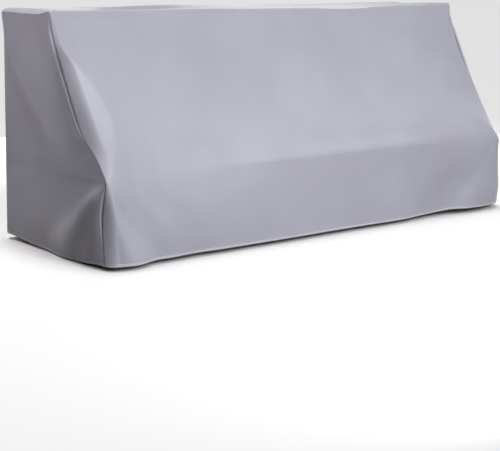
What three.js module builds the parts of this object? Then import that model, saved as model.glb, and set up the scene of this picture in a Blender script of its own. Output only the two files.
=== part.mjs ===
import * as THREE from "three";

// Upright piano cover in coated cloth, as it hangs. Millimetres, X along the width, front towards -Y.
// The origin is the middle of the underside of the top, where the cover rests.
const WIDTH = 1500;
const TOP_DEPTH = 293;
const KEY_REACH = 251;
const KEY_DROP = 425;
const HEM_DROP = 645;
const APRON_TUCK = 8;
const BACK_FLARE = 8;

// Cloth, seams and hems
const CLOTH = 2;
const SEAM_GAP = 0.3;
const SEAM_TURN = 3;
const SEAM_ALLOWANCE = 10;
const HEM_WIDTH = 8;
const HEM_SWELL = 0.9;
const HEM_CLOTH = 3.2;

// Slack of the slope, lowest a little below its middle, and of the side panels at the hem
const SLOPE_SAG = 6;
const SAG_PLACE = 1.4;
const SIDE_DROOP = 2;
const SIDE_FADE = 34;

// Corners of the outer face seen from the side, back hem to front hem, with the bend at each
const HALF = WIDTH / 2;
const FRONT = -TOP_DEPTH / 2;
const BACK = TOP_DEPTH / 2;
const CORNERS = [
  { name: "back hem", y: BACK + BACK_FLARE, z: CLOTH - HEM_DROP, radius: 0, steps: 0 },
  { name: "top back", y: BACK, z: CLOTH, radius: 14, steps: 4 },
  { name: "top front", y: FRONT, z: CLOTH, radius: 13, steps: 2 },
  { name: "key edge", y: FRONT - KEY_REACH, z: CLOTH - KEY_DROP, radius: 46, steps: 3 },
  { name: "front hem", y: FRONT - KEY_REACH + APRON_TUCK, z: CLOTH - HEM_DROP, radius: 0, steps: 0 },
];

// Stretches between the corners. The margin rolls over the side edge to the seam. Roll is how deep the
// seam lies under the outer face and spread how wide the roll is: at the start, at the end, and what
// mid stretch adds. Left and right are the seam's distance from the middle at the start and the end.
const STRETCHES = [
  { name: "back", steps: 4, roll: [8, 3.5, 0], spread: [10, 3.5, 0],
    left: [HALF + 13, HALF - 2], right: [HALF + 7, HALF - 1] },
  { name: "top", steps: 9, roll: [3.5, 3.5, 6], spread: [3.5, 3.5, 9],
    left: [HALF - 2, HALF], right: [HALF - 1, HALF] },
  { name: "slope", steps: 12, roll: [3.5, 14, 22], spread: [3.5, 20, 34],
    left: [HALF, HALF - 5], right: [HALF, HALF - 3] },
  { name: "apron", steps: 7, roll: [14, 16, 3], spread: [20, 24, 6],
    left: [HALF - 5, HALF - 7], right: [HALF - 3, HALF + 2] },
];

// Folds of the strip, each a soft ridge or trough from one place to another. Places are X and the
// distance down the cloth from the top front edge. Wide is the half width and rise the height at each end.
const STRIP_FOLDS = [
  { name: "drawn in under the top", from: [-745, 34], to: [745, 34], wide: [36, 36], rise: [-5, -5] },
  { name: "left crest", from: [-738, 100], to: [-694, 425], wide: [20, 36], rise: [3, 9] },
  { name: "hollow by the crest", from: [-650, 95], to: [-590, 250], wide: [55, 60], rise: [-4, -3] },
  { name: "left corner ridge", from: [-736, 505], to: [-688, 714], wide: [14, 62], rise: [2, 18] },
  { name: "left corner dart", from: [-700, 525], to: [-600, 714], wide: [18, 44], rise: [-1, -4] },
  { name: "second ridge", from: [-680, 512], to: [-535, 714], wide: [18, 55], rise: [1, 5] },
  { name: "apron hollow", from: [-470, 590], to: [-455, 714], wide: [50, 70], rise: [-2, -5] },
  { name: "right trough", from: [600, 515], to: [495, 714], wide: [45, 130], rise: [-4, -16] },
  { name: "right corner ridge", from: [738, 505], to: [692, 714], wide: [14, 62], rise: [2, 10] },
  { name: "corner pull", from: [725, 50], to: [280, 315], wide: [34, 80], rise: [4, 3] },
  { name: "hollow under the pull", from: [700, 170], to: [520, 220], wide: [55, 75], rise: [-4, -4] },
  { name: "dip in the top edge", from: [205, 4], to: [310, 4], wide: [62, 62], rise: [-5, -5] },
  { name: "lifted back corner", from: [735, -293], to: [330, -293], wide: [90, 60], rise: [6, 2] },
];

// Folds of the side panels. Places are Y and Z, and rise is outwards.
const LEFT_FOLDS = [
  { name: "sweep from the key corner", from: [-388, -432], to: [-95, -643], wide: [16, 62], rise: [3, 11] },
  { name: "level ridge", from: [-372, -402], to: [-90, -380], wide: [18, 50], rise: [4, 5] },
  { name: "belly", from: [-126, -643], to: [-126, -520], wide: [235, 150], rise: [12, 3] },
  { name: "slack hollow", from: [110, -170], to: [-70, -320], wide: [46, 46], rise: [-4, -3] },
];
const RIGHT_FOLDS = [
  { name: "sweep from the key corner", from: [-388, -432], to: [-190, -643], wide: [16, 70], rise: [3, 9] },
  { name: "puff behind the seam", from: [-195, -120], to: [-245, -225], wide: [95, 70], rise: [20, 14] },
  { name: "belly", from: [-60, -643], to: [-60, -520], wide: [225, 150], rise: [9, 3] },
];

// Fineness of the grids. Columns of the strip crowd a little towards its sides.
const STRIP_COLUMNS = 20;
const CROWDING = 1.35;
const ROLL_STEPS = 4;
const TURN_STEPS = 2;

// Rows of a rolled hem, counted up from the edge
const HEM_ROWS = [
  { above: 0, swell: HEM_SWELL, cloth: HEM_CLOTH },
  { above: HEM_WIDTH - 1, swell: HEM_SWELL, cloth: HEM_CLOTH },
];
const HEM_TOP = HEM_WIDTH + 3;

const { lerp, clamp, smoothstep } = THREE.MathUtils;
const QUARTER = Math.PI / 2;

// Soft hill that is exactly flat from one width out
function hill(t) {
  return Math.abs(t) < 1 ? (1 - t * t) ** 2 : 0;
}

// Start to end, with what mid stretch adds
function swelling([start, end, middle], share) {
  return lerp(start, end, share) + middle * Math.sin(Math.PI * share) ** 2;
}

// Sum of the soft ridges and troughs at one place on the cloth
function foldRise(folds, across, down) {
  let rise = 0;
  for (const fold of folds) {
    const runAcross = fold.to[0] - fold.from[0];
    const runDown = fold.to[1] - fold.from[1];
    const offAcross = across - fold.from[0];
    const offDown = down - fold.from[1];
    const along = (offAcross * runAcross + offDown * runDown) / (runAcross ** 2 + runDown ** 2);
    const share = clamp(along, 0, 1);
    const away = Math.hypot(offAcross - share * runAcross, offDown - share * runDown);
    rise += lerp(...fold.rise, share) * hill(away / lerp(...fold.wide, share));
  }
  return rise;
}

// One row of the strip: its place, the way in, and the margin it has there
function rowOn(stretch, share, y, z, inY, inZ) {
  const slope = stretch.name === "slope";
  return {
    y,
    z,
    inY,
    inZ,
    roll: swelling(stretch.roll, share),
    spread: swelling(stretch.spread, share),
    left: lerp(...stretch.left, share),
    right: lerp(...stretch.right, share),
    sag: slope ? SLOPE_SAG * Math.sin(Math.PI * share ** SAG_PLACE) ** 2 : 0,
    swell: 0,
    cloth: CLOTH,
  };
}

// Rows round a bend, from the row where it begins
function bendRows(begin, corner, turn, stretch) {
  const rows = [];
  for (let k = 1; k < corner.steps; k++) {
    const angle = (turn * k) / corner.steps;
    const inY = begin.inY * Math.cos(angle) - begin.inZ * Math.sin(angle);
    const inZ = begin.inY * Math.sin(angle) + begin.inZ * Math.cos(angle);
    const y = begin.y + corner.radius * (begin.inY - inY);
    const z = begin.z + corner.radius * (begin.inZ - inZ);
    const middle = k === corner.steps / 2 ? corner.name : "";
    rows.push({ ...rowOn(stretch, 1, y, z, inY, inZ), middle });
  }
  return rows;
}

// The strip's rows from back hem to front hem: straight stretches joined by the bends
function profileRows() {
  const runs = STRETCHES.map((stretch, i) => {
    const run = new THREE.Vector2(CORNERS[i + 1].y - CORNERS[i].y, CORNERS[i + 1].z - CORNERS[i].z);
    return { length: run.length(), way: run.normalize() };
  });
  const turns = CORNERS.map((corner, i) => {
    if (corner.radius === 0) return 0;
    return Math.atan2(runs[i - 1].way.cross(runs[i].way), runs[i - 1].way.dot(runs[i].way));
  });
  const cuts = CORNERS.map((corner, i) => corner.radius * Math.tan(turns[i] / 2));
  const rows = [];
  STRETCHES.forEach((stretch, i) => {
    const { length, way } = runs[i];
    const begin = cuts[i];
    const end = length - cuts[i + 1];
    const place = (along) => {
      const share = (along - begin) / (end - begin);
      return rowOn(stretch, share, CORNERS[i].y + way.x * along, CORNERS[i].z + way.y * along, -way.y, way.x);
    };
    const first = i === 0;
    const last = i === STRETCHES.length - 1;
    if (first) HEM_ROWS.forEach((hem) => rows.push({ ...place(hem.above), ...hem }));
    const from = first ? HEM_TOP : begin;
    const to = last ? length - HEM_TOP : end;
    for (let k = 0; k <= stretch.steps; k++) {
      rows.push(place(lerp(from, to, k / stretch.steps)));
    }
    if (last) HEM_ROWS.toReversed().forEach((hem) => rows.push({ ...place(length - hem.above), ...hem }));
    else rows.push(...bendRows(rows[rows.length - 1], CORNERS[i + 1], turns[i + 1], stretch));
  });
  return rows;
}

// Gives each row its distance along the cloth from the top front edge, positive down the front
function measureRows(rows) {
  let along = 0;
  rows.forEach((row, i) => {
    if (i > 0) along += Math.hypot(row.y - rows[i - 1].y, row.z - rows[i - 1].z);
    row.down = along;
  });
  const edge = rows.find((row) => row.middle === "top front").down;
  for (const row of rows) {
    row.down -= edge;
  }
  return rows;
}

// Closed solid of one sheet: outer face, inner face one cloth thickness behind it, and walls between
function sheetSolid(points, quads, cloths) {
  const normals = points.map(() => new THREE.Vector3());
  for (const quad of quads) {
    const [a, b, c, d] = quad.map((corner) => points[corner]);
    const normal = c.clone().sub(a).cross(d.clone().sub(b));
    quad.forEach((corner) => normals[corner].add(normal));
  }
  const inner = points.map((point, i) => point.clone().addScaledVector(normals[i].normalize(), -cloths[i]));
  const count = points.length;
  const triangles = [];
  const edges = new Map();
  for (const [a, b, c, d] of quads) {
    const shorter = points[a].distanceTo(points[c]) <= points[b].distanceTo(points[d]);
    const halves = shorter ? [[a, b, c], [a, c, d]] : [[a, b, d], [b, c, d]];
    for (const [p, q, r] of halves) {
      triangles.push(p, q, r, p + count, r + count, q + count);
    }
    for (const [p, q] of [[a, b], [b, c], [c, d], [d, a]]) {
      if (!edges.delete(q + "_" + p)) edges.set(p + "_" + q, [p, q]);
    }
  }
  for (const [p, q] of edges.values()) {
    triangles.push(q, p, p + count, q, p + count, q + count);
  }
  const geometry = new THREE.BufferGeometry().setFromPoints([...points, ...inner]);
  geometry.setIndex(triangles);
  geometry.computeVertexNormals();
  return geometry;
}

// Section of the strip's margin: roll over the edge, turn into the seam, then the allowance
function marginSection(row) {
  const section = [];
  for (let k = 1; k <= ROLL_STEPS; k++) {
    const angle = (QUARTER * k) / ROLL_STEPS;
    section.push({ into: row.spread * (1 - Math.sin(angle)), deep: row.roll * (1 - Math.cos(angle)) });
  }
  for (let k = 1; k <= TURN_STEPS; k++) {
    const angle = (QUARTER * k) / TURN_STEPS;
    section.push({ into: SEAM_TURN * (1 - Math.cos(angle)), deep: row.roll + SEAM_TURN * Math.sin(angle) });
  }
  section.push({ into: SEAM_TURN + SEAM_ALLOWANCE, deep: row.roll + SEAM_TURN });
  return section;
}

// Main panel: the rows swept across, with the folds raised between the rolled margins
function mainPanel(rows) {
  const points = [];
  const cloths = [];
  const put = (row, x, deep) => {
    points.push(new THREE.Vector3(x, row.y + row.inY * deep, row.z + row.inZ * deep));
    cloths.push(row.cloth);
  };
  for (const row of rows) {
    const margin = marginSection(row);
    const low = row.spread - row.left;
    const high = row.right - row.spread;
    const rise = (x) => {
      const slack = row.sag * (1 - (x / (x < 0 ? low : high)) ** 4);
      return foldRise(STRIP_FOLDS, x, row.down) - slack + row.swell;
    };
    const still = (step) => 1 - smoothstep(step.deep, 0, row.roll);
    for (const step of margin.toReversed()) {
      put(row, step.into - row.left, step.deep - rise(low) * still(step));
    }
    for (let k = 0; k <= STRIP_COLUMNS; k++) {
      const side = (2 * k) / STRIP_COLUMNS - 1;
      const x = (side < 0 ? low : high) * (1 - (1 - Math.abs(side)) ** CROWDING);
      put(row, x, -rise(x));
    }
    for (const step of margin) {
      put(row, row.right - step.into, step.deep - rise(high) * still(step));
    }
  }
  const across = points.length / rows.length;
  const quads = [];
  for (let i = 0; i + 1 < rows.length; i++) {
    for (let k = 0; k + 1 < across; k++) {
      const a = i * across + k;
      quads.push([a, a + across, a + across + 1, a + 1]);
    }
  }
  return sheetSolid(points, quads, cloths);
}

// Place between two points of a seam
function between(upper, lower, share) {
  const mixed = { ...lower };
  for (const key of ["y", "z", "half", "inY", "inZ"]) mixed[key] = lerp(upper[key], lower[key], share);
  return mixed;
}

// Place on a run of seam points at a given height
function atHeight(run, z) {
  const next = clamp(run.findIndex((point) => point.z <= z), 1, run.length - 1);
  const [upper, lower] = [run[next - 1], run[next]];
  return between(upper, lower, clamp((upper.z - z) / (upper.z - lower.z), 0, 1));
}

// Side panel: a patch filled in between the seam's front, top and back runs, with its edge turned in
function sidePanel(rows, folds, side) {
  const sign = side === "left" ? -1 : 1;
  const seam = rows.map((row) => {
    const inset = row.roll + SEAM_TURN + SEAM_GAP + SEAM_TURN;
    return { ...row, y: row.y + row.inY * inset, z: row.z + row.inZ * inset, half: row[side] };
  });
  const backCorner = rows.findIndex((row) => row.middle === "top back");
  const frontCorner = rows.findIndex((row) => row.middle === "top front");
  const top = seam.slice(backCorner, frontCorner + 1);
  const front = seam.slice(frontCorner);
  const backRun = seam.slice(0, backCorner + 1).reverse();
  const fall = (point) => (front[0].z - point.z) / (front[0].z - front.at(-1).z);
  const back = front.map((point) => {
    const height = lerp(backRun[0].z, backRun.at(-1).z, fall(point));
    return { ...atHeight(backRun, height), swell: point.swell, cloth: point.cloth };
  });
  const points = [];
  const cloths = [];
  const quads = [];
  const index = (i, k) => i * top.length + k;
  front.forEach((ahead, i) => {
    const v = fall(ahead);
    top.forEach((above, k) => {
      const u = (top[0].y - above.y) / (top[0].y - top.at(-1).y);
      const mix = (key) => {
        const below = lerp(back.at(-1)[key], front.at(-1)[key], u);
        const level = lerp(back[i][key], ahead[key], u);
        return lerp(above[key], below, v) + level - lerp(lerp(top[0][key], top.at(-1)[key], u), below, v);
      };
      const y = mix("y");
      const z = mix("z") - SIDE_DROOP * v * Math.sin(Math.PI * u);
      const clear = Math.min(y - ahead.y, back[i].y - y, above.z - z);
      const rise = foldRise(folds, y, z) * smoothstep(clear, 0, SIDE_FADE);
      points.push(new THREE.Vector3(sign * (mix("half") + rise + ahead.swell), y, z));
      cloths.push(ahead.cloth);
    });
  });
  for (let i = 0; i + 1 < front.length; i++) {
    for (let k = 0; k + 1 < top.length; k++) {
      quads.push([index(i, k), index(i + 1, k), index(i + 1, k + 1), index(i, k + 1)]);
    }
  }
  const border = [
    ...back.slice(1).map((point, i) => ({ ...point, at: index(i + 1, 0) })).reverse(),
    ...top.map((point, k) => ({ ...point, at: index(0, k) })),
    ...front.slice(1).map((point, i) => ({ ...point, at: index(i + 1, top.length - 1) })),
  ];
  let ring = border.map((point) => point.at);
  for (let step = 1; step <= TURN_STEPS + 1; step++) {
    const turned = Math.min(1, step / TURN_STEPS);
    const allowance = step > TURN_STEPS ? SEAM_ALLOWANCE : 0;
    const into = SEAM_TURN * (1 - Math.cos(QUARTER * turned)) + allowance;
    const out = SEAM_TURN * Math.sin(QUARTER * turned);
    const next = border.map((point) => {
      const x = sign * (point.half - into + point.swell * (1 - turned));
      cloths.push(point.cloth);
      return points.push(new THREE.Vector3(x, point.y - point.inY * out, point.z - point.inZ * out)) - 1;
    });
    for (let k = 0; k + 1 < ring.length; k++) {
      quads.push([ring[k], ring[k + 1], next[k + 1], next[k]]);
    }
    ring = next;
  }
  const facing = sign < 0 ? quads : quads.map((quad) => quad.toReversed());
  return sheetSolid(points, facing, cloths);
}

const rows = measureRows(profileRows());
const pieces = {
  main_panel: mainPanel(rows),
  side_panel_left: sidePanel(rows, LEFT_FOLDS, "left"),
  side_panel_right: sidePanel(rows, RIGHT_FOLDS, "right"),
};
const cover = new THREE.Group();
for (const [name, geometry] of Object.entries(pieces)) {
  const coatedCloth = new THREE.MeshStandardMaterial({ color: 0xb4b4c0, roughness: 0.5, metalness: 0 });
  const mesh = new THREE.Mesh(geometry, coatedCloth);
  mesh.name = name;
  cover.add(mesh);
}

export default cover;
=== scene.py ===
# %% [markdown]
# # A fitted dust cover
# The cover is sewn from three pieces of grey coated cloth. One long strip runs up the back, over
# the top, down the sloping front and over the key edge to the front hem, and a five-sided panel
# closes each end. Coated cloth is stiff, so it keeps broad, soft folds instead of many small
# ones. Sizes are in millimetres here, and a mesh is turned into metres when it is made.

# %% Load the frame
import math
from collections import namedtuple
from types import SimpleNamespace

import bpy
import numpy as np
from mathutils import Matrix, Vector


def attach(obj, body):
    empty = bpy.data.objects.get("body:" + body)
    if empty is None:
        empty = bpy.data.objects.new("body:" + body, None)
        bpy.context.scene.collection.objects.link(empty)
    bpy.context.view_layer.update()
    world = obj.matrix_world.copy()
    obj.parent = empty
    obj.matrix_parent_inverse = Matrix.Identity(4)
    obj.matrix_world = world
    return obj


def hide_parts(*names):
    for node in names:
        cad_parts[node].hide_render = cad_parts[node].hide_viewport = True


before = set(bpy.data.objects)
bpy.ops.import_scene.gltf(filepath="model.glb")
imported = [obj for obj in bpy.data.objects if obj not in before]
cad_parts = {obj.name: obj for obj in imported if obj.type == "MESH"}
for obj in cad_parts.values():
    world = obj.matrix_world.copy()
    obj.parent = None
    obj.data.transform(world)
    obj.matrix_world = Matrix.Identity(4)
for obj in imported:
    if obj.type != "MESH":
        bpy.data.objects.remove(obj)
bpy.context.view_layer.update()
MM = 0.001

# %% [markdown]
# ## Camera
# The cover is seen from the front left, from just above its top, with a long lens. A camera in
# Blender looks down its own -Z, so it is first tipped up to the horizon, then down a little, then
# turned.

# %% Camera
CAMERA_PLACE = (-2.1879, -2.9170, 0.0680)
LOOK_DOWN = math.radians(11.72)
LOOK_RIGHT = math.radians(37.08)
FOCAL_LENGTH = 83.55
SENSOR = 36
lens = bpy.data.cameras.new("camera")
lens.sensor_width = SENSOR
lens.lens = FOCAL_LENGTH
camera = bpy.data.objects.new("camera", lens)
camera.location = CAMERA_PLACE
camera.rotation_euler = (math.pi / 2 - LOOK_DOWN, 0, -LOOK_RIGHT)
bpy.context.scene.collection.objects.link(camera)
bpy.context.scene.camera = camera
print("camera at", [round(v, 3) for v in camera.location], "lens", lens.lens)

# %% [markdown]
# ## Sizes of the cover
# Seen from the side the outer face is a line with five corners. The strip follows that line, and
# every row of its mesh is one place on it. The slope ends at the key edge, where the cloth turns
# down into a short apron. X runs along the width and the front looks towards -Y.

# %% Sizes of the cover
WIDTH = 1500
TOP_DEPTH = 293
KEY_REACH = 251
KEY_DROP = 425
HEM_DROP = 645
APRON_TUCK = 8
BACK_FLARE = 8
BACK_LIFT = 5
TOP_FACE = 2
TOP_BACK_BEND = 14
TOP_FRONT_BEND = 12
KEY_BEND = 46
HALF = WIDTH / 2
FRONT = -TOP_DEPTH / 2
BACK = TOP_DEPTH / 2
Corner = namedtuple("Corner", "name y z radius")
CORNERS = [
    Corner("back hem", BACK + BACK_FLARE, TOP_FACE - HEM_DROP + BACK_LIFT, 0),
    Corner("top back", BACK, TOP_FACE, TOP_BACK_BEND),
    Corner("top front", FRONT, TOP_FACE, TOP_FRONT_BEND),
    Corner("key edge", FRONT - KEY_REACH, TOP_FACE - KEY_DROP, KEY_BEND),
    Corner("front hem", FRONT - KEY_REACH + APRON_TUCK, TOP_FACE - HEM_DROP, 0),
]
print("cover:", WIDTH, "mm wide,", TOP_DEPTH + KEY_REACH, "deep and", HEM_DROP, "high")

# %% [markdown]
# ## Rows of the strip
# The strip is swept from the back hem over the top to the front hem. Straight stretches get
# evenly spaced rows, bends get close ones, and the hems get rows of their own for their stitched
# groove. Each row keeps the way into the cover, so that later steps can press the cloth in or
# lift it out.

# %% Rows of the strip
ROW_STEPS = {"back": 12, "top": 7, "slope": 7.5, "apron": 7}
BEND_STEP = 2.2
HEM_ROWS = [0, 1.5, 3, 4.5, 5.6, 6.4, 7, 7.6, 8.6, 10, 12.5, 16]


def strip_rows():
    spots = np.array([(corner.y, corner.z) for corner in CORNERS], float)
    runs = np.diff(spots, axis=0)
    lengths = np.hypot(runs[:, 0], runs[:, 1])
    ways = runs / lengths[:, None]
    turns = np.zeros(len(CORNERS))
    for i in range(1, len(CORNERS) - 1):
        a, b = ways[i - 1], ways[i]
        turns[i] = math.atan2(a[0] * b[1] - a[1] * b[0], a @ b)
    cuts = [corner.radius * math.tan(turn / 2) for corner, turn in zip(CORNERS, turns)]
    blocks, middles = [], {}
    count = 0
    for i, step in enumerate(ROW_STEPS.values()):
        begin, end = cuts[i], lengths[i] - cuts[i + 1]
        along = np.linspace(begin, end, round((end - begin) / step) + 1)
        if i == 0:
            along = np.concatenate([HEM_ROWS, along[along > HEM_ROWS[-1] + step / 2]])
        if i == len(ROW_STEPS) - 1:
            near = end - np.array(HEM_ROWS[::-1])
            along = np.concatenate([along[along < near[0] - step / 2], near])
        inward = np.array([-ways[i][1], ways[i][0]])
        straight = spots[i] + ways[i] * along[:, None]
        blocks.append(np.column_stack([straight, np.tile(inward, (len(along), 1))]))
        count += len(along)
        corner = CORNERS[i + 1]
        if corner.radius:
            steps = 2 * round(corner.radius * turns[i + 1] / BEND_STEP / 2)
            angle = turns[i + 1] * np.arange(1, steps) / steps
            turned = np.column_stack([inward[0] * np.cos(angle) - inward[1] * np.sin(angle),
                                      inward[0] * np.sin(angle) + inward[1] * np.cos(angle)])
            bend = straight[-1] + corner.radius * (inward - turned)
            blocks.append(np.column_stack([bend, turned]))
            middles[corner.name] = count + steps // 2 - 1
            count += steps - 1
    y, z, in_y, in_z = np.concatenate(blocks).T
    walked = np.concatenate([[0], np.cumsum(np.hypot(np.diff(y), np.diff(z)))])
    return SimpleNamespace(
        y=y, z=z, in_y=in_y, in_z=in_z, top_back=middles["top back"],
        top_front=middles["top front"], key_edge=middles["key edge"],
        above=np.minimum(walked, walked[-1] - walked), down=walked - walked[middles["top front"]])


rows = strip_rows()
KEY_DOWN = rows.down[rows.key_edge]
HEM_DOWN = rows.down[-1]
print("strip:", len(rows.y), "rows, front hem", round(HEM_DOWN), "mm below the top front edge")

# %% [markdown]
# ## Margins and seams
# Along its sides the strip rolls over the edge before it meets the end panel in a seam. The roll
# is shallow at the top corners, fat and wide on the lower slope, and pinched at the key corner. A
# table gives it at places down the cloth, counted from the top front edge: how deep and how wide
# the roll is and how far out the seam lies. Between places the values are eased, so that no kink
# shows.

# %% Margins
Margin = namedtuple("Margin", "name down left_roll left_spread left_seam "
                              "right_roll right_spread right_seam")
MARGINS = [
    Margin("back hem", -938, 8, 10, 759, 8, 10, 757),
    Margin("back, under the top", -350, 4, 5, 744, 4, 5, 749),
    Margin("back edge of the top", -290, 7, 8, 752, 4, 5, 749),
    Margin("top, by the back", -240, 8, 15, 748, 4, 6, 749),
    Margin("middle of the top", -150, 10, 18, 748, 4, 6, 749),
    Margin("top, by the front", -60, 12, 20, 749, 4, 6, 750),
    Margin("rising to the corner", -24, 6, 9, 750, 4, 6, 750),
    Margin("front edge of the top", 0, 1, 3, 750, 4, 5, 749),
    Margin("under the corner", 30, 9, 13, 752, 5, 12, 742),
    Margin("roll dying out", 60, 10, 12, 755, 5.5, 26, 734),
    Margin("upper slope", 95, 8, 9, 757, 6, 42, 725),
    Margin("roll begins again", 130, 15, 20, 755, 8.5, 60, 722),
    Margin("upper middle", 155, 21, 33, 751, 10, 72, 721),
    Margin("middle of the slope", 205, 28, 59, 748, 14, 120, 725),
    Margin("below the middle", 260, 35, 74, 744, 19, 150, 738),
    Margin("fattest", 305, 41, 79, 741, 25, 180, 748),
    Margin("above the key corner", 352, 40, 77, 739, 24, 170, 748),
    Margin("pulled in", 395, 27, 60, 732, 21, 130, 749),
    Margin("pulled flat", 435, 14, 37, 732, 19, 65, 750),
    Margin("key corner", 494, 6, 14, 733, 15, 36, 756),
    Margin("below the key corner", 540, 10, 15, 737, 20, 38, 758),
    Margin("apron", 590, 18, 28, 738, 26, 46, 766),
    Margin("low on the apron", 650, 16, 26, 738, 30, 54, 780),
    Margin("front hem", 714, 8, 34, 736, 33, 60, 783),
]
EASE = 22
EASE_TAPS = 9


def between(start, end, share):
    return start + (end - start) * share


def smooth(value, low, high):
    t = np.clip((value - low) / (high - low), 0, 1)
    return t * t * (3 - 2 * t)


def from_table(table, by, column, place):
    return np.interp(place, [getattr(row, by) for row in table],
                     [getattr(row, column) for row in table])


def eased(table, column, down):
    shifts = np.linspace(-EASE, EASE, EASE_TAPS)
    return np.mean([from_table(table, "down", column, down + shift) for shift in shifts], axis=0)


for column in Margin._fields[2:]:
    setattr(rows, column, eased(MARGINS, column, rows.down))
print("left roll up to", round(rows.left_roll.max(), 1), "mm deep and",
      round(rows.left_spread.max(), 1), "wide")

# %% [markdown]
# Both edges curl into the seam. The edge of the end panel curls round as a narrow lip that faces
# the front and stands a little proud of the strip. The lip is painted paler, a painted highlight,
# and the dip beside it darker, painted shade, so it shows as a pale line with a dark one beside
# it. On the left the lip is open from below the top corner to the lower slope, closes above the
# key corner and opens again below it. On the right the seam is pulled in under the top corner, and
# there the end panel stands far proud of the strip.

# %% Lips along the seam
Lip = namedtuple("Lip", "name down left_lip right_lip turn left_proud right_proud")
LIPS = [
    Lip("back hem", -940, 2.0, 2.0, 1.6, 0, 0),
    Lip("back edge of the top", -300, 0.6, 0.6, 0.6, 0, 0),
    Lip("top", -60, 0.5, 0.5, 0.5, 0, 0),
    Lip("top corner", 5, 3.0, 2.0, 1.2, 0, 0),
    Lip("upper seam", 45, 9.0, 3.0, 3.4, 3.5, 6),
    Lip("right seam pulled in", 100, 9.0, 4.0, 3.4, 3.5, 23),
    Lip("right seam furthest in", 150, 9.0, 4.0, 3.4, 3.5, 28),
    Lip("right seam coming out", 205, 9.0, 4.0, 3.4, 3.5, 25),
    Lip("middle of the seam", 240, 9.0, 4.0, 3.4, 3.5, 17),
    Lip("lower seam", 320, 7.0, 2.0, 2.8, 2.5, 0),
    Lip("closes above the key corner", 375, 1.0, 2.0, 1.0, 0, 0),
    Lip("key corner", 500, 1.2, 2.0, 1.0, 0, 0),
    Lip("opens below it", 525, 9.0, 2.0, 1.6, 5.0, 0),
    Lip("widest", 575, 10.0, 2.0, 1.6, 6.5, 0),
    Lip("still open", 612, 9.0, 2.0, 1.5, 5.5, 0),
    Lip("closing", 655, 4.0, 2.0, 1.4, 1.5, 0),
    Lip("closes above the hem", 695, 1.6, 1.6, 1.2, 0, 0),
    Lip("front hem", 715, 1.2, 1.2, 1.0, 0, 0),
]
# Painted shade: how dark the dip of each seam is painted, by the lip's width on the left and by the
# step on the right.
LEFT_SHADE_DEPTH, LEFT_SHADE_LIP = 0.45, (1.5, 8)
RIGHT_SHADE_DEPTH, RIGHT_SHADE_STEP = 0.8, (2, 12)
for column in Lip._fields[2:]:
    setattr(rows, column, eased(LIPS, column, rows.down))
rows.left_dust = LEFT_SHADE_DEPTH * smooth(rows.left_lip, *LEFT_SHADE_LIP)
rows.right_dust = RIGHT_SHADE_DEPTH * smooth(rows.right_proud, *RIGHT_SHADE_STEP)
print("left lip", round(rows.left_lip.min(), 1), "to", round(rows.left_lip.max(), 1), "mm wide")

# %% [markdown]
# ## Folds
# A fold in stiff cloth is a soft ridge or trough that runs from one place to the next, and often
# widens on its way, like a cone, from the corner that pulls it. Each fold is a short chain of
# stations: where it passes, across and down the cloth, half its width there, and how far it rises
# or sinks. They could be sculpted by hand too, but in a table each one can be moved on its own.

# %% Folds of the strip
Station = namedtuple("Station", "across down wide rise")
STRIP_FOLDS = {
    "drawn in under the top": [(-745, 30, 26, -2), (-500, 30, 30, -0.8), (600, 32, 34, -0.6),
                               (745, 34, 36, -1)],
    "hollow by the crest": [(-655, 95, 50, -1), (-620, 200, 60, -2), (-600, 300, 60, -1)],
    "left corner ridge": [(-733, 508, 10, 1), (-714, 582, 26, 8), (-688, 650, 52, 14),
                          (-664, 714, 84, 20)],
    "left corner dart": [(-690, 520, 14, -0.6), (-610, 615, 36, -1.4), (-570, 690, 46, -1.4)],
    "second ridge": [(-650, 520, 16, 0.5), (-577, 607, 40, 1), (-540, 714, 54, 1)],
    "apron hollow": [(-560, 560, 40, -1), (-481, 646, 80, -4), (-455, 714, 90, -5)],
    "right trough": [(625, 560, 60, -4), (569, 618, 85, -11), (500, 668, 105, -14),
                     (440, 714, 115, -12)],
    "right corner ridge": [(738, 505, 14, 2), (710, 590, 50, 6), (680, 655, 80, 11),
                           (625, 714, 100, 11)],
    "corner pull": [(715, 50, 50, 1), (460, 205, 90, 1.5), (214, 345, 100, 1)],
    "hollow under the pull": [(670, 170, 70, -1), (547, 225, 90, -1.5), (430, 300, 90, -1)],
    "dip in the top edge": [(-60, 2, 100, -1.5), (205, 4, 125, -5.5), (310, 4, 125, -5.5),
                            (420, 2, 90, -1)],
    "lifted back edge": [(-500, -293, 70, 2), (0, -293, 90, 5), (735, -293, 90, 6)],
    "lifted left end": [(-740, -240, 60, 4), (-735, -120, 70, 4), (-740, -40, 40, 2)],
    "lifted right end": [(748, -240, 120, 3), (748, -120, 130, 6), (748, 0, 90, 6)],
    "foot of the slope": [(-330, 440, 40, -1), (-50, 445, 50, -3), (300, 445, 50, -3),
                          (600, 440, 40, -1)],
}


def hill(t):
    return np.where(np.abs(t) < 1, (1 - t * t) ** 2, 0)


def fold_rise(folds, across, down):
    total = np.zeros(np.broadcast(across, down).shape)
    for chain in folds.values():
        stations = [Station(*station) for station in chain]
        rise = np.zeros_like(total)
        for a, b in zip(stations, stations[1:]):
            run_across, run_down = b.across - a.across, b.down - a.down
            share = (across - a.across) * run_across + (down - a.down) * run_down
            share = np.clip(share / (run_across ** 2 + run_down ** 2), 0, 1)
            away = np.hypot(across - a.across - share * run_across,
                            down - a.down - share * run_down)
            here = between(a.rise, b.rise, share) * hill(away / between(a.wide, b.wide, share))
            rise = np.where(np.abs(here) > np.abs(rise), here, rise)
        total += rise
    return total


print("folds on the strip:", len(STRIP_FOLDS))

# %% [markdown]
# The slope hangs between the top and the key edge, so it sags a little, most of all below its
# middle.

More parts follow.
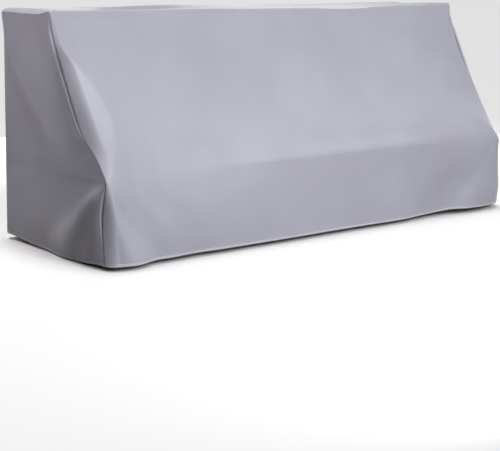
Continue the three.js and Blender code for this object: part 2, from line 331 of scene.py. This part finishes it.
# %% Sag of the slope
SLOPE_SAG = 6
SAG_PLACE = 1.4
slope_share = np.clip(rows.down / KEY_DOWN, 0, 1)
rows.sag = SLOPE_SAG * np.sin(np.pi * slope_share ** SAG_PLACE) ** 2
print("deepest sag", round(rows.down[rows.sag.argmax()]), "mm down the slope")

# %% [markdown]
# The key edge isn't straight either. In the middle it has crept up the slope, on the left it is
# rounded off so far that it hardly shows, and in between the cloth is slack: a tight bend and a
# very wide one share the turn. Its table says how far up the edge lies, how round the tight bend
# is, and how much of the turn is slack. The cloth is pressed in along one direction, half way
# between slope and apron, because pressing each row along its own way in would pinch the rows of
# the bend together.

# %% Key edge
KeyEdge = namedtuple("KeyEdge", "across up radius slack")
KEY_EDGE = [
    KeyEdge(-745, 0, 60, 0),
    KeyEdge(-690, -4, 200, 0.15),
    KeyEdge(-640, -8, 250, 0.6),
    KeyEdge(-560, -8, 200, 0.95),
    KeyEdge(-450, 4, 110, 0.85),
    KeyEdge(-385, 14, 60, 0.6),
    KeyEdge(-320, 17, 45, 0.5),
    KeyEdge(-250, 18, 40, 0.45),
    KeyEdge(-105, 18, 36, 0.33),
    KeyEdge(45, 18, 36, 0.15),
    KeyEdge(205, 18, 38, 0.25),
    KeyEdge(380, 18, 45, 0.35),
    KeyEdge(480, 14, 90, 0.3),
    KeyEdge(580, 6, 260, 0),
    KeyEdge(680, -4, 350, 0),
    KeyEdge(745, -8, 380, 0),
]
SLACK_RADIUS = 700
KEY_TURN = math.atan2(KEY_REACH, KEY_DROP) + math.atan2(APRON_TUCK, HEM_DROP - KEY_DROP)
NEVER_ZERO = 1e-9
key_in_y, key_in_z = rows.in_y[rows.key_edge], rows.in_z[rows.key_edge]


def rounding(radius, away):
    return np.clip(radius * math.tan(KEY_TURN / 2) - away, 0, None) ** 2 / (2 * radius)


def key_edge_sink(across, down):
    up, radius, slack = (from_table(KEY_EDGE, "across", column, across)
                         for column in ("up", "radius", "slack"))
    edge = KEY_DOWN - up
    upper, lower = np.minimum(edge, KEY_DOWN), np.maximum(edge, KEY_DOWN)
    moved = np.where(down < lower, np.clip(down - upper, 0, None) / (lower - upper + NEVER_ZERO),
                     (HEM_DOWN - down) / (HEM_DOWN - lower))
    away = np.abs(down - edge) * math.cos(KEY_TURN / 2)
    bend = between(rounding(radius, away), rounding(SLACK_RADIUS, away), slack)
    bend -= rounding(KEY_BEND, np.abs(down - KEY_DOWN) * math.cos(KEY_TURN / 2))
    return 2 * moved * up * math.sin(KEY_TURN / 2) + bend


print("the key edge turns by", round(math.degrees(KEY_TURN), 1), "degrees")

# %% [markdown]
# No cloth hangs quite even. A Displace modifier with a noise texture could ruffle it. Four long,
# low waves that cross each other do it here, because they can be faded out towards a seam and
# come out the same each time.

# %% Unevenness
Wave = namedtuple("Wave", "length heading phase height")
WAVES = [
    Wave(410, 20, 0.4, 0.9),
    Wave(290, 75, 2.1, 0.7),
    Wave(230, 130, 4.0, 0.5),
    Wave(170, 160, 1.2, 0.3),
]


def unevenness(across, down):
    rise = np.zeros(np.broadcast(across, down).shape)
    for wave in WAVES:
        heading = math.radians(wave.heading)
        along = across * math.cos(heading) + down * math.sin(heading)
        rise += wave.height * np.sin(2 * np.pi * along / wave.length + wave.phase)
    return rise


print("waves up to", round(sum(wave.height for wave in WAVES), 1), "mm high together")

# %% [markdown]
# ## Hem
# Each piece ends in a narrow rolled hem, sewn a few millimetres above its edge. The roll stands a
# little proud of the cloth and the stitches pull a shallow groove along its top, and the roll is
# painted paler as a painted highlight, so the hem shows as a pale line with a dark one over it. On
# the right the front hem also rides up a little, and a second table says how far.

# %% Hem
CLOTH = 1.2
HEM_CLOTH = 3.0
HEM_WIDTH = 8
HEM_EASE = 1
HEM_SWELL = 0.9
STITCH_LINE = 7
STITCH_DENT = 0.6
STITCH_HALF = 1.6
SWELL_END = (STITCH_LINE - 1, STITCH_LINE + 1.5)
HEM_HIGHLIGHT_END = (3, 6)


def hem_relief(above):
    proud = HEM_SWELL * (1 - smooth(above, *SWELL_END))
    return proud - STITCH_DENT * hill((above - STITCH_LINE) / STITCH_HALF)


def hem_thickness(above):
    return between(HEM_CLOTH, CLOTH, smooth(above, HEM_WIDTH - HEM_EASE, HEM_WIDTH + HEM_EASE))


rows.relief = hem_relief(rows.above)
rows.thick = hem_thickness(rows.above)
# Painted highlight: the bottom few millimetres of each hem are painted paler.
rows.rubbed = 1 - smooth(rows.above, *HEM_HIGHLIGHT_END)
print("hem stands", round(rows.relief.max(), 2), "mm proud, groove",
      round(rows.relief.min(), 2), "mm")

# %% Where the front hem rides up
HemLift = namedtuple("HemLift", "across lift")
HEM_LIFTS = [
    HemLift(330, 0),
    HemLift(430, 0),
    HemLift(535, 5),
    HemLift(620, 4),
    HemLift(700, 1),
    HemLift(740, 1),
    HemLift(765, 3),
    HemLift(785, 8),
]
LIFT_HEIGHT = 130


def hem_lift(across, down):
    lift = from_table(HEM_LIFTS, "across", "lift", across)
    return lift * smooth(down, HEM_DOWN - LIFT_HEIGHT, HEM_DOWN)


print("the front hem rides up by", max(row.lift for row in HEM_LIFTS), "mm at most")

# %% [markdown]
# ## From a grid of points to a sheet
# Each piece is worked out as the outer face only: points and the quads between them. A sheet of
# cloth needs a back too, so the points are copied inwards along their normals by the cloth's
# thickness, and a rounded rim joins both faces. Blender's Solidify modifier does the same, but it
# can't make the hem thicker than the rest, which is why it is done here by hand. Each point also
# carries how much light or shade is painted on it, for the material: 1 is a painted highlight, 0
# is plain and -1 is painted shade.

# %% From a grid of points to a sheet
def sheet_object(name, points, quads, thick, rubbed):
    a, b, c, d = (points[quads[:, i]] for i in range(4))
    facing = np.cross(c - a, d - b)
    normals = np.zeros_like(points)
    for i in range(4):
        np.add.at(normals, quads[:, i], facing)
    normals /= np.linalg.norm(normals, axis=1, keepdims=True)
    count = len(points)
    inner = points - normals * thick[:, None]
    sides = np.concatenate([quads[:, [i, (i + 1) % 4]] for i in range(4)])
    open_side = ~np.isin(sides[:, 0] * count + sides[:, 1], sides[:, 1] * count + sides[:, 0])
    edge = sides[open_side]
    along = points[edge[:, 1]] - points[edge[:, 0]]
    outwards = np.zeros_like(points)
    for i in range(2):
        np.add.at(outwards, edge[:, i], np.cross(along, normals[edge[:, i]]))
    rim = np.unique(edge)
    outwards = outwards[rim] / np.linalg.norm(outwards[rim], axis=1, keepdims=True)
    middle = (points[rim] + inner[rim]) / 2 + outwards * thick[rim, None] / 2
    place = np.zeros(count, int)
    place[rim] = 2 * count + np.arange(len(rim))
    p, q = edge[:, 0], edge[:, 1]
    walls = [np.stack([q, p, place[p], place[q]], axis=1),
             np.stack([place[q], place[p], p + count, q + count], axis=1)]
    faces = np.concatenate([quads, quads[:, ::-1] + count, *walls])
    mesh = bpy.data.meshes.new(name)
    corners = np.concatenate([points, inner, middle]) * MM
    mesh.from_pydata(corners.tolist(), [], faces.tolist())
    mesh.polygons.foreach_set("use_smooth", [True] * len(faces))
    inside = np.zeros(len(faces), int)
    inside[len(quads):2 * len(quads)] = 1
    mesh.polygons.foreach_set("material_index", inside)
    light_amount = mesh.attributes.new("rubbed", "FLOAT", "POINT")
    light_amount.data.foreach_set("value", np.concatenate([rubbed, rubbed, rubbed[rim]]))
    mesh.validate()
    piece = bpy.data.objects.new(name, mesh)
    bpy.context.scene.collection.objects.link(piece)
    print(name, "has", len(points), "points on its face and", 2 * len(faces), "triangles")
    return piece


def grid_quads(across, count):
    corner = (np.arange(count - 1)[:, None] * across + np.arange(across - 1)).ravel()
    return np.stack([corner, corner + across, corner + across + 1, corner + 1], axis=1)


print("a grid of 4 by 3 points has", len(grid_quads(4, 3)), "quads")

# %% [markdown]
# ## The strip
# Columns run across the strip: close together by the sides, where the folds are small, and wider
# apart in the middle. Outside them lie the roll, the turn into the seam and the seam allowance,
# worked out from each row's own roll and spread.

# %% Columns of the strip
Band = namedtuple("Band", "start end step")
BANDS = [Band(-1, -0.66, 6), Band(-0.66, 0.5, 13), Band(0.5, 1, 7.5)]
columns = [np.arange(band.start, band.end, band.step / HALF) for band in BANDS]
columns = np.concatenate([*columns, [1.0]])
print("strip:", len(columns), "columns between the margins")

# %% [markdown]
# A roll begins as a slightly tilted facet and bends over in a flank at its end. The flank is
# narrow on the left of the slope, wider on the apron, and on the right it takes the whole roll.
# How far the cloth leans when it reaches the turn depends on the size of the turn, and the other
# way round, so a few rounds of working out one from the other settle both.

# %% Margin of the strip
Roll = namedtuple("Roll", "tilt flank apron_flank soft")
ROLLS = {"left": Roll(0.17, 28, 90, 0.18), "right": Roll(0, 220, 220, 0.1)}
FLANK_EASE = 60
ROLL_POWER = 2
TILT_LIMIT = 0.5
FIRST_LEAN = math.pi / 3
LEAN_ROUNDS = 4
LEAST_ROLL = 0.1
ROLL_STEPS = 14
ROLL_CROWDING = 1.5
APRON_FADE = 3
TURN_STEPS = 6
ALLOWANCE_STEPS = 2
SEAM_ALLOWANCE = 10


def steps_to_one(count):
    return np.linspace(0, 1, count + 1)[1:]


def strip_margin(rows, side, edge_rise, edge_sink):
    sign = -1 if side == "left" else 1
    roll, spread, seam = (getattr(rows, side + "_" + name) for name in ("roll", "spread", "seam"))
    shape = ROLLS[side]
    below_key = smooth(rows.down, KEY_DOWN, KEY_DOWN + FLANK_EASE)
    flat = np.maximum(1 - between(shape.flank, shape.apron_flank, below_key) / spread, 0)
    lean = np.full(len(roll), FIRST_LEAN)
    for _ in range(LEAN_ROUNDS):
        wide = spread - rows.turn * (1 - np.sin(lean))
        tall = np.maximum(roll - rows.turn * np.cos(lean), LEAST_ROLL)
        tilt = np.minimum(shape.tilt, TILT_LIMIT * tall / wide)
        rest = tall / wide - tilt * (1 - shape.soft / 2)
        lean = np.arctan(tilt + rest * ROLL_POWER / (1 - flat))
    x, deep, sink = [], [], []
    for share in 1 - (1 - steps_to_one(ROLL_STEPS)) ** ROLL_CROWDING:
        # The tilt of the facet eases in, so its depth is the running sum of a smooth step.
        begun = min(share / shape.soft, 1)
        facet = shape.soft * begun ** 3 * (1 - begun / 2) + max(share - shape.soft, 0)
        bent = np.maximum(share - flat, 0) / (1 - flat)
        fade = 1 - smooth(share, 0, 1)
        x.append(seam - spread + wide * share)
        deep.append(wide * (tilt * facet + rest * bent ** ROLL_POWER)
                    - edge_rise * between(fade, 1 - share ** APRON_FADE, below_key))
        sink.append(edge_sink * fade)
    for share in steps_to_one(TURN_STEPS):
        angle = between(lean, np.pi, share)
        x.append(seam - rows.turn * (1 - np.sin(angle)))
        deep.append(tall + rows.turn * (np.cos(lean) - np.cos(angle)))
    for share in steps_to_one(ALLOWANCE_STEPS):
        x.append(seam - rows.turn - SEAM_ALLOWANCE * share)
        deep.append(deep[-1])
    sink += [0 * edge_sink] * (len(x) - len(sink))
    return [sign * column for column in x], deep, sink


print("a margin has", ROLL_STEPS + TURN_STEPS + ALLOWANCE_STEPS, "columns")

# %% [markdown]
# The folds are added up on the columns with the unevenness and the sag, and these two die out
# towards the sides, where the seams hold the cloth. The margins take over from the outermost
# columns.

# %% Make the strip
EDGE_CALM = 4


def strip_face(rows):
    t = columns[None, :]
    reach = np.where(t < 0, (rows.left_seam - rows.left_spread)[:, None],
                     (rows.right_seam - rows.right_spread)[:, None])
    x = t * reach
    down = rows.down[:, None]
    loose = 1 - t ** EDGE_CALM
    rise = fold_rise(STRIP_FOLDS, x, down) + unevenness(x, down) * loose
    rise += rows.relief[:, None] - rows.sag[:, None] * loose
    sink = key_edge_sink(x, down)
    left_x, left_deep, left_sink = strip_margin(rows, "left", rise[:, 0], sink[:, 0])
    right_x, right_deep, right_sink = strip_margin(rows, "right", rise[:, -1], sink[:, -1])
    x = np.column_stack([*left_x[::-1], x, *right_x])
    deep = np.column_stack([*left_deep[::-1], -rise, *right_deep])
    sink = np.column_stack([*left_sink[::-1], sink, *right_sink])
    y = rows.y[:, None] + rows.in_y[:, None] * deep + key_in_y * sink
    z = rows.z[:, None] + rows.in_z[:, None] * deep + key_in_z * sink + hem_lift(x, down)
    return np.stack([x, y, z], axis=2)


strip = strip_face(rows)
across = strip.shape[1]
tucked = TURN_STEPS + ALLOWANCE_STEPS
# Painted light: the hem rows carry the painted highlight and the tucked seam columns the painted
# shade.
painted_marks = np.tile(rows.rubbed[:, None], (1, across))
painted_marks[:, :tucked] = -rows.left_dust[:, None]
painted_marks[:, -tucked:] = -rows.right_dust[:, None]
main_panel = sheet_object("main_panel_cloth", strip.reshape(-1, 3), grid_quads(across, len(rows.y)),
                          np.repeat(rows.thick, across), painted_marks.ravel())

# %% [markdown]
# ## The end panels
# An end panel hangs between the seam's front, top and back runs. Filling in a surface between
# four edges is called a Coons patch: blend the two upright edges, blend the top and the hem, and
# take away what is counted twice. The panel's folds are then raised on it, and its border curls
# into the seam. The stations of these folds count Y across, from front to back, and Z down.

# %% Folds of the end panels
LEFT_FOLDS = {
    "sweep from the key corner": [(-388, -432, 10, 2), (-345, -466, 28, 9), (-292, -510, 46, 12),
                                  (-195, -603, 70, 9), (-155, -643, 90, 5)],
    "foot of the sweep": [(-385, -440, 16, 2), (-300, -530, 70, 7), (-235, -600, 115, 7),
                          (-205, -643, 125, 5)],
    "under the sweep": [(-352, -560, 40, -2), (-345, -643, 50, -4)],
    "valley over the sweep": [(-385, -424, 8, -1), (-311, -421, 24, -4), (-192, -418, 36, -2.5),
                              (-80, -415, 40, -1)],
    "level ridge": [(-300, -390, 24, 1), (-178, -384, 40, 4), (60, -392, 50, 3),
                    (137, -396, 40, 1)],
    "swell behind the seam": [(-130, -150, 90, 1), (-190, -250, 125, 6), (-240, -320, 125, 9),
                              (-285, -372, 75, 6), (-335, -402, 26, 2)],
    "low ridge": [(-60, -440, 30, 1), (53, -462, 40, 3), (130, -480, 40, 2)],
    "tucked hem": [(120, -643, 85, -4), (-60, -643, 90, -4), (-160, -643, 60, -1)],
    "slack hollow": [(110, -150, 34, -2), (10, -250, 46, -4), (-79, -325, 46, -3)],
}
RIGHT_FOLDS = {
    "sweep from the key corner": [(-388, -432, 16, 3), (-190, -643, 70, 9)],
    "belly": [(-60, -643, 225, 9), (-60, -520, 150, 3)],
}
print("folds on the end panels:", len(LEFT_FOLDS), "left and", len(RIGHT_FOLDS), "right")

# %% Seam line of an end panel
SEAM_GAP = 0.3


def seam_line(rows, side):
    lip = getattr(rows, side + "_lip")
    inset = getattr(rows, side + "_roll") + rows.turn + SEAM_GAP + lip
    line = SimpleNamespace(y=rows.y + rows.in_y * inset, z=rows.z + rows.in_z * inset)
    line.lip, line.proud = lip, getattr(rows, side + "_proud")
    line.half = getattr(rows, side + "_seam") + line.proud
    if side == "right":
        line.z += hem_lift(line.half, rows.down)
    for name in ("in_y", "in_z", "relief", "thick", "rubbed"):
        setattr(line, name, getattr(rows, name))
    return line


def part_of(line, take):
    return SimpleNamespace(**{name: values[take] for name, values in vars(line).items()})


print("the left seam lies", round(seam_line(rows, "left").half.max()), "mm out at most")

# %% Face of an end panel
SIDE_DROOP = 12
SIDE_FADE = 34


def panel_edges(rows, side):
    line = seam_line(rows, side)
    top = part_of(line, slice(rows.top_back, rows.top_front + 1))
    front = part_of(line, slice(rows.top_front, None))
    rear = part_of(line, slice(rows.top_back, None, -1))
    fall = (front.z[0] - front.z) / (front.z[0] - front.z[-1])
    height = between(rear.z[0], rear.z[-1], fall)
    back = SimpleNamespace(**{key: np.interp(-height, -rear.z, values)
                              for key, values in vars(rear).items()})
    back.relief, back.thick, back.rubbed = front.relief, front.thick, front.rubbed
    return SimpleNamespace(top=top, front=front, back=back, fall=fall)


def patch(edges, key, u, v):
    above, ahead, behind = (getattr(edge, key) for edge in (edges.top, edges.front, edges.back))
    below = between(behind[-1], ahead[-1], u)
    level = between(behind[:, None], ahead[:, None], u)
    counted = between(between(above[0], above[-1], u), below, v)
    return between(above[None, :], below, v) + level - counted


def panel_face(rows, edges, sign, folds):
    run = rows.y[rows.top_back:rows.top_front + 1]
    u = ((run[0] - run) / (run[0] - run[-1]))[None, :]
    v = edges.fall[:, None]
    y = patch(edges, "y", u, v)
    z = patch(edges, "z", u, v) - SIDE_DROOP * v * np.sin(np.pi * u)
    clear = np.minimum(y - edges.front.y[:, None], edges.back.y[:, None] - y)
    clear = np.minimum(clear, edges.top.z[None, :] - z)
    rise = (fold_rise(folds, y, z) + unevenness(y + HALF, z)) * smooth(clear, 0, SIDE_FADE)
    x = sign * (patch(edges, "half", u, v) + rise + edges.front.relief[:, None])
    return np.stack([x, y, z], axis=2)


left_edges = panel_edges(rows, "left")
print("left end panel:", len(left_edges.front.y), "rows of", len(left_edges.top.y), "points")

# %% [markdown]
# The border of a panel, from the back hem over the top to the front hem, curls a quarter turn
# into the seam and ends in its allowance. Each step of the curl is one more ring of points. The
# curl is painted pale where the lip shows, a painted highlight, and painted dark at its foot where
# the panel stands far proud of the strip, painted shade in the step.

# %% Curl of an end panel
QUARTER_TURN = np.pi / 2
LIP_POWER = 1.45
HIGHLIGHT_LIP, HIGHLIGHT_TURN = (1.5, 5), (0, 0.4)
SEAM_SHADE_STEP, SEAM_SHADE_TURN = (10, 16), (0.70, 0.95)
CURL = [(turned, 0) for turned in steps_to_one(TURN_STEPS + 1) * QUARTER_TURN]
CURL.append((QUARTER_TURN, SEAM_ALLOWANCE))


def panel_border(edges):
    border = SimpleNamespace()
    for key in vars(edges.top):
        behind, above, ahead = (getattr(edge, key) for edge in (edges.back, edges.top, edges.front))
        setattr(border, key, np.concatenate([behind[:0:-1], above, ahead[1:]]))
    return border


def curl_ring(border, sign, turned, allowance):
    into = (border.lip + border.proud) * (1 - np.cos(turned) ** LIP_POWER) + allowance
    out = border.lip * np.sin(turned) ** LIP_POWER
    x = sign * (border.half - into + border.relief * (1 - turned / QUARTER_TURN))
    y, z = border.y - border.in_y * out, border.z - border.in_z * out
    # Painted highlight on the lip where it shows, and painted shade at the foot of a proud step.
    lip_highlight = smooth(border.lip, *HIGHLIGHT_LIP) * smooth(turned, *HIGHLIGHT_TURN)
    groove = smooth(border.proud, *SEAM_SHADE_STEP) * smooth(turned, *SEAM_SHADE_TURN)
    return np.stack([x, y, z], axis=1), between(np.maximum(border.rubbed, lip_highlight), -1, groove)


print("a curl has", len(CURL), "rings of", len(panel_border(left_edges).y), "points")

# %% Make the end panels
def end_panel(name, rows, side, folds):
    sign = -1 if side == "left" else 1
    edges = panel_edges(rows, side)
    border = panel_border(edges)
    face = panel_face(rows, edges, sign, folds)
    count_down, count_across = face.shape[:2]
    points = [face.reshape(-1, 3)]
    thick = [np.repeat(edges.front.thick, count_across)]
    rubbed = [np.repeat(edges.front.rubbed, count_across)]
    quads = [grid_quads(count_across, count_down)]
    count = count_down * count_across
    index = np.arange(count).reshape(count_down, count_across)
    ring = np.concatenate([index[:0:-1, 0], index[0], index[1:, -1]])
    for turned, allowance in CURL:
        ring_points, ring_painted_light = curl_ring(border, sign, turned, allowance)
        points.append(ring_points)
        thick.append(border.thick)
        rubbed.append(ring_painted_light)
        following = count + np.arange(len(ring))
        quads.append(np.stack([ring[:-1], ring[1:], following[1:], following[:-1]], axis=1))
        ring, count = following, count + len(ring)
    quads = np.concatenate(quads)
    if side == "right":
        quads = quads[:, ::-1]
    return sheet_object(name, np.concatenate(points), quads,
                        np.concatenate(thick), np.concatenate(rubbed))


left_panel = end_panel("side_panel_left_cloth", rows, "left", LEFT_FOLDS)
right_panel = end_panel("side_panel_right_cloth", rows, "right", RIGHT_FOLDS)

# %% [markdown]
# ## Coated cloth
# The cloth is a knitted polyester with a thin polyurethane coat, calendered between rollers,
# which give it a satin face with a fine pebbled grain. It reads as smooth and softly glossy from
# a step away. Its colour is a grey that leans to violet, a little uneven from roll to roll. Hems
# and lips are painted paler as a painted highlight, and the dip of a seam is painted darker as
# painted shade, both by the amount that each point carries.

# %% One function for nodes and one for colours
def linear(code):
    parts = [int(code[i:i + 2], 16) / 255 for i in (1, 3, 5)]
    return [p / 12.92 if p <= 0.04045 else ((p + 0.055) / 1.055) ** 2.4 for p in parts] + [1]


def add_node(tree, kind, settings=None, links=None):
    node = tree.nodes.new(kind)
    for name, value in (settings or {}).items():
        if isinstance(name, str) and hasattr(node, name):
            setattr(node, name, value)
        else:
            node.inputs[name].default_value = value
    for name, source in (links or {}).items():
        tree.links.new(source, node.inputs[name])
    return node


print("middle grey is", round(linear("#808080")[0], 3), "in linear light")

# %% Polyurethane-coated cloth, calendered
# The rollers press the coat smooth, so the eye sees a soft gleam with no weave in it.
# The real grain is well under a millimetre and wouldn't show, so it is drawn at 3 mm.
GRAIN = 3.0
GRAIN_DEPTH = 0.3
GRAIN_STRENGTH = 0.12
CLOUDING = 190
CLOUD_DETAIL = 2
CLOUD_BEGIN, CLOUD_END = 0.3, 0.7
GLOSSIEST, DULLEST = 0.34, 0.40
COAT_IOR = 1.5
COAT_GREY = "#b2b4c0"
COAT_GREY_DEEP = "#adacb9"
# A painted highlight colour for hems and lips, and a painted shade colour for the dip of a seam.
COAT_HIGHLIGHT = "#d2d1dc"
SEAM_SHADE_GREY = "#67656d"
MIX_SHARE, MIX_FROM, MIX_TO, MIX_COLOUR = 0, 6, 7, 2


def coated_cloth():
    material = bpy.data.materials.new("polyurethane_coated_cloth_calendered")
    material.use_nodes = True
    tree = material.node_tree
    surface = tree.nodes["Principled BSDF"]
    place = add_node(tree, "ShaderNodeTexCoord").outputs["Object"]
    cloud = add_node(tree, "ShaderNodeTexNoise",
                     {"Scale": 1 / (CLOUDING * MM), "Detail": CLOUD_DETAIL}, {"Vector": place})
    tint = add_node(tree, "ShaderNodeValToRGB", links={"Fac": cloud.outputs["Fac"]})
    low, high = tint.color_ramp.elements
    low.position, high.position = CLOUD_BEGIN, CLOUD_END
    low.color, high.color = linear(COAT_GREY_DEEP), linear(COAT_GREY)
    # Positive values mix in the painted highlight, negative ones the painted shade.
    light_amount = add_node(tree, "ShaderNodeAttribute", {"attribute_name": "rubbed"})
    painted_marks = add_node(tree, "ShaderNodeMix", {"data_type": "RGBA", MIX_TO: linear(COAT_HIGHLIGHT)},
                    {MIX_SHARE: light_amount.outputs["Fac"], MIX_FROM: tint.outputs["Color"]})
    dust = add_node(tree, "ShaderNodeMapRange", {"From Min": 0, "From Max": -1},
                    {"Value": light_amount.outputs["Fac"]})
    colour = add_node(tree, "ShaderNodeMix", {"data_type": "RGBA", MIX_TO: linear(SEAM_SHADE_GREY)},
                      {MIX_SHARE: dust.outputs["Result"], MIX_FROM: painted_marks.outputs[MIX_COLOUR]})
    tree.links.new(colour.outputs[MIX_COLOUR], surface.inputs["Base Color"])
    polish = add_node(tree, "ShaderNodeMapRange", {"To Min": GLOSSIEST, "To Max": DULLEST},
                      {"Value": cloud.outputs["Fac"]})
    tree.links.new(polish.outputs["Result"], surface.inputs["Roughness"])
    pebble = add_node(tree, "ShaderNodeTexVoronoi",
                      {"feature": "SMOOTH_F1", "Scale": 1 / (GRAIN * MM)}, {"Vector": place})
    bump = add_node(tree, "ShaderNodeBump",
                    {"Strength": GRAIN_STRENGTH, "Distance": GRAIN_DEPTH * MM},
                    {"Height": pebble.outputs["Distance"]})
    tree.links.new(bump.outputs["Normal"], surface.inputs["Normal"])
    surface.inputs["IOR"].default_value = COAT_IOR
    return material


coat = coated_cloth()
print(coat.name, "has", len(coat.node_tree.nodes), "nodes")

# %% [markdown]
# Inside, the bare knit carries the coat. It is matt and a little fuzzy, and only shows from
# below.

# %% Knitted polyester backing
# Its loops scatter the light, so the eye sees no gleam, only a faint speckle.
# The real loops are about 1 mm and wouldn't show, so they are drawn at 2.5 mm.
KNIT = 2.5
KNIT_DETAIL = 3
KNIT_DEPTH = 0.4
KNIT_STRENGTH = 0.3
KNIT_ROUGHNESS = 0.9
BACKING_GREY = "#a9a8ad"
BACKING_GREY_DEEP = "#98979c"


def knitted_backing():
    material = bpy.data.materials.new("polyester_backing_knitted")
    material.use_nodes = True
    tree = material.node_tree
    surface = tree.nodes["Principled BSDF"]
    place = add_node(tree, "ShaderNodeTexCoord").outputs["Object"]
    knit = add_node(tree, "ShaderNodeTexNoise",
                    {"Scale": 1 / (KNIT * MM), "Detail": KNIT_DETAIL}, {"Vector": place})
    tint = add_node(tree, "ShaderNodeValToRGB", links={"Fac": knit.outputs["Fac"]})
    low, high = tint.color_ramp.elements
    low.color, high.color = linear(BACKING_GREY_DEEP), linear(BACKING_GREY)
    tree.links.new(tint.outputs["Color"], surface.inputs["Base Color"])
    bump = add_node(tree, "ShaderNodeBump",
                    {"Strength": KNIT_STRENGTH, "Distance": KNIT_DEPTH * MM},
                    {"Height": knit.outputs["Fac"]})
    tree.links.new(bump.outputs["Normal"], surface.inputs["Normal"])
    surface.inputs["Roughness"].default_value = KNIT_ROUGHNESS
    return material


backing = knitted_backing()
for piece in (main_panel, left_panel, right_panel):
    piece.data.materials.append(coat)
    piece.data.materials.append(backing)
print(backing.name, "lies inside", coat.name)

# %% [markdown]
# ## Attach each piece and hide its solid
# Each sheet rides on the frame's one body and stands for its solid, which is hidden. Each cut also
# lists the size it was cut to, in metres, and for the end panels, which have five sides, their own
# area, but nothing here reads these.

# %% Attach each piece and hide its solid
Cut = namedtuple("Cut", "piece node flat area")
STRIP_FLAT = (1.555, 1.672)
END_FLAT, END_AREA = (0.57, 0.67), 0.315
CUTS = [
    Cut(main_panel, "main_panel", STRIP_FLAT, None),
    Cut(left_panel, "side_panel_left", END_FLAT, END_AREA),
    Cut(right_panel, "side_panel_right", END_FLAT, END_AREA),
]
for piece, node, flat, area in CUTS:
    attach(piece, "root")
    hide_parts(node)
    print(piece.name, "stands for", node)

# %% [markdown]
# ## Floor and light
# A pale, matt floor runs off to the horizon just under the hem. It sends no light up onto the
# cloth, so that the shading is set by the lamps alone. A sun with a wide angle stands for a big
# soft box far away: one in front lights the slope and apron, one overhead the top, and a weak one
# the back. Small boxes near the cover fill in the ends, the back and the front, weakest on the
# left end, which stays in shade.

# %% Floor
# Matt paint scatters the light, so the eye sees an even pale ground with no reflection in it.
FLOOR_DROP = 0.656
FLOOR_HALF = 600
FLOOR_GREY = "#efefef"
FLOOR_ROUGHNESS = 0.9
outline = [(-1, -1), (1, -1), (1, 1), (-1, 1)]
floor_mesh = bpy.data.meshes.new("floor")
floor_mesh.from_pydata([(x * FLOOR_HALF, y * FLOOR_HALF, -FLOOR_DROP) for x, y in outline],
                       [], [(0, 1, 2, 3)])
floor = bpy.data.objects.new("floor", floor_mesh)
bpy.context.scene.collection.objects.link(floor)
paint = bpy.data.materials.new("floor_paint_matt")
paint.use_nodes = True
coating = paint.node_tree.nodes["Principled BSDF"]
coating.inputs["Base Color"].default_value = linear(FLOOR_GREY)
coating.inputs["Roughness"].default_value = FLOOR_ROUGHNESS
floor_mesh.materials.append(paint)
floor.visible_diffuse = False
print("floor", FLOOR_DROP, "m below the top")

# %% Light
SKY = 0.01
SKY_GREY = "#f2f3f6"
Sun = namedtuple("Sun", "name towards strength spread")
SUNS = [
    Sun("key", (0.14, -0.78, 0.57), 1.4, 18),
    Sun("overhead", (0, 0.1, 1), 1.85, 30),
    Sun("rear", (0.2, 0.7, 0.6), 0.3, 45),
]
Box = namedtuple("Box", "name place aim watts size colour")
BOXES = [
    Box("rear right", (1.2, 1.15, 0.95), (0.4, 0, 0), 9.2, 1.0, "#fffaf3"),
    Box("left end, high", (-1.16, 0.1, 0.56), (-0.75, -0.1, -0.3), 1.5, 0.5, "#fff5fa"),
    Box("left end, low", (-1.5, 0.1, 0.13), (-0.75, -0.1, -0.3), 2.0, 0.4, "#fff5fa"),
    Box("right end", (2.3, 0.4, -0.05), (0.75, 0, -0.3), 6.0, 0.9, "#ffffff"),
    Box("back", (0.1, 2.2, -0.05), (0, 0.15, -0.3), 9.0, 1.2, "#ffffff"),
    Box("front, high", (-0.25, -1.1, 0.7), (-0.1, -0.3, -0.3), 1.0, 0.7, "#ffffff"),
    Box("front, middle", (0.3, -1.7, 0), (-0.1, -0.3, -0.3), 5.6, 0.9, "#ffffff"),
    Box("front, low", (-0.3, -1.8, -0.35), (-0.1, -0.4, -0.5), 6.6, 0.8, "#ffffff"),
]


def add_light(name, kind, towards, energy, **settings):
    light = bpy.data.lights.new(name, kind)
    light.energy = energy
    for key, value in settings.items():
        setattr(light, key, value)
    lamp = bpy.data.objects.new(name, light)
    lamp.rotation_euler = Vector(towards).to_track_quat("Z", "Y").to_euler()
    bpy.context.scene.collection.objects.link(lamp)
    return lamp


sky = bpy.data.worlds.new("studio")
sky.use_nodes = True
background = sky.node_tree.nodes["Background"]
background.inputs["Color"].default_value = linear(SKY_GREY)
background.inputs["Strength"].default_value = SKY
bpy.context.scene.world = sky
for sun in SUNS:
    add_light(sun.name, "SUN", sun.towards, sun.strength, angle=math.radians(sun.spread))
for box in BOXES:
    towards = Vector(box.place) - Vector(box.aim)
    lamp = add_light(box.name, "AREA", towards, box.watts,
                     size=box.size, color=linear(box.colour)[:3])
    lamp.location = box.place
bpy.context.scene.view_settings.view_transform = "Standard"
print("lights:", len(SUNS), "suns and", len(BOXES), "soft boxes")

# %% [markdown]
